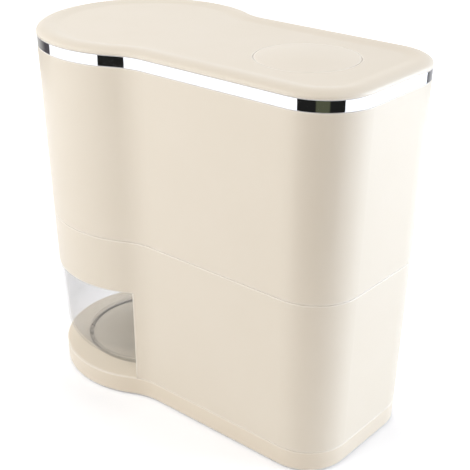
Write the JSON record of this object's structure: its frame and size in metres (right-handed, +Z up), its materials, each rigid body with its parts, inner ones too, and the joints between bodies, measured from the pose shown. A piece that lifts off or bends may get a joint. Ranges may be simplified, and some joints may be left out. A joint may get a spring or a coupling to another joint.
{
  "type": "rice dispenser with pull-out bowl",
  "caption": "Keyhole-plan rice bin with lift-off lid, push-button metering slide and a clear bowl that pulls out from an open bay under the round nose",
  "frame": {"origin": "on the table under the middle of the dispenser's box", "axes": "+Z up, -Y towards the round nose and its button, +X to the right seen from the nose; the dispenser is symmetric across X"},
  "size_m": [0.1936, 0.3536, 0.3325],
  "materials": {
    "body_cream": "moulded ABS, fine satin",
    "inner_white": "moulded polypropylene, matt",
    "slide_grey": "moulded acetal, matt",
    "chrome_band": "bright chrome plating on ABS",
    "clear_bowl": "clear moulded polystyrene",
    "seal_silicone": "moulded silicone rubber",
    "foot_rubber": "moulded rubber",
    "screw_steel": "zinc-plated steel",
    "spring_steel": "drawn stainless wire"
  },
  "bodies": {
    "housing": {"base_plate": "body_cream", "foot_pads": "foot_rubber", "base_screws": "screw_steel", "lower_housing": "body_cream", "upper_housing": "body_cream", "trim_ring": "chrome_band", "hopper_floor": "inner_white", "metering_box": "inner_white", "metering_cover": "inner_white", "inlet_wiper": "seal_silicone", "button_bezel": "chrome_band", "return_spring": "spring_steel", "ceiling_screws": "screw_steel", "cover_screws": "screw_steel"},
    "slide": {"metering_slide": "slide_grey", "press_button": "body_cream", "link_screws": "screw_steel"},
    "lid": {"lid_cover": "body_cream", "lid_disc": "body_cream", "lid_liner": "inner_white", "lid_seal": "seal_silicone"},
    "case": {"case_cup": "inner_white", "case_cap": "inner_white"},
    "bowl": {"drawer_bowl": "clear_bowl"}
  },
  "joints": [
    {"name": "button_press", "type": "slide", "parent": "housing", "child": "slide", "axis": [0, 1, 0], "range_m": [0, 0.026], "stiffness_N_per_m": 220, "springref_m": -0.012, "deforming": ["return_spring"]},
    {"name": "lid_lift", "type": "slide", "parent": "housing", "child": "lid", "axis": [0, 0, 1], "range_m": [0, 0.1]},
    {"name": "case_twist", "type": "hinge", "parent": "lid", "child": "case", "pos_m": [0, 0.092, 0.32], "axis": [0, 0, 1], "range_deg": [0, 90]},
    {"name": "bowl_pull", "type": "slide", "parent": "housing", "child": "bowl", "axis": [0, -1, 0], "range_m": [0, 0.19]}
  ]
}
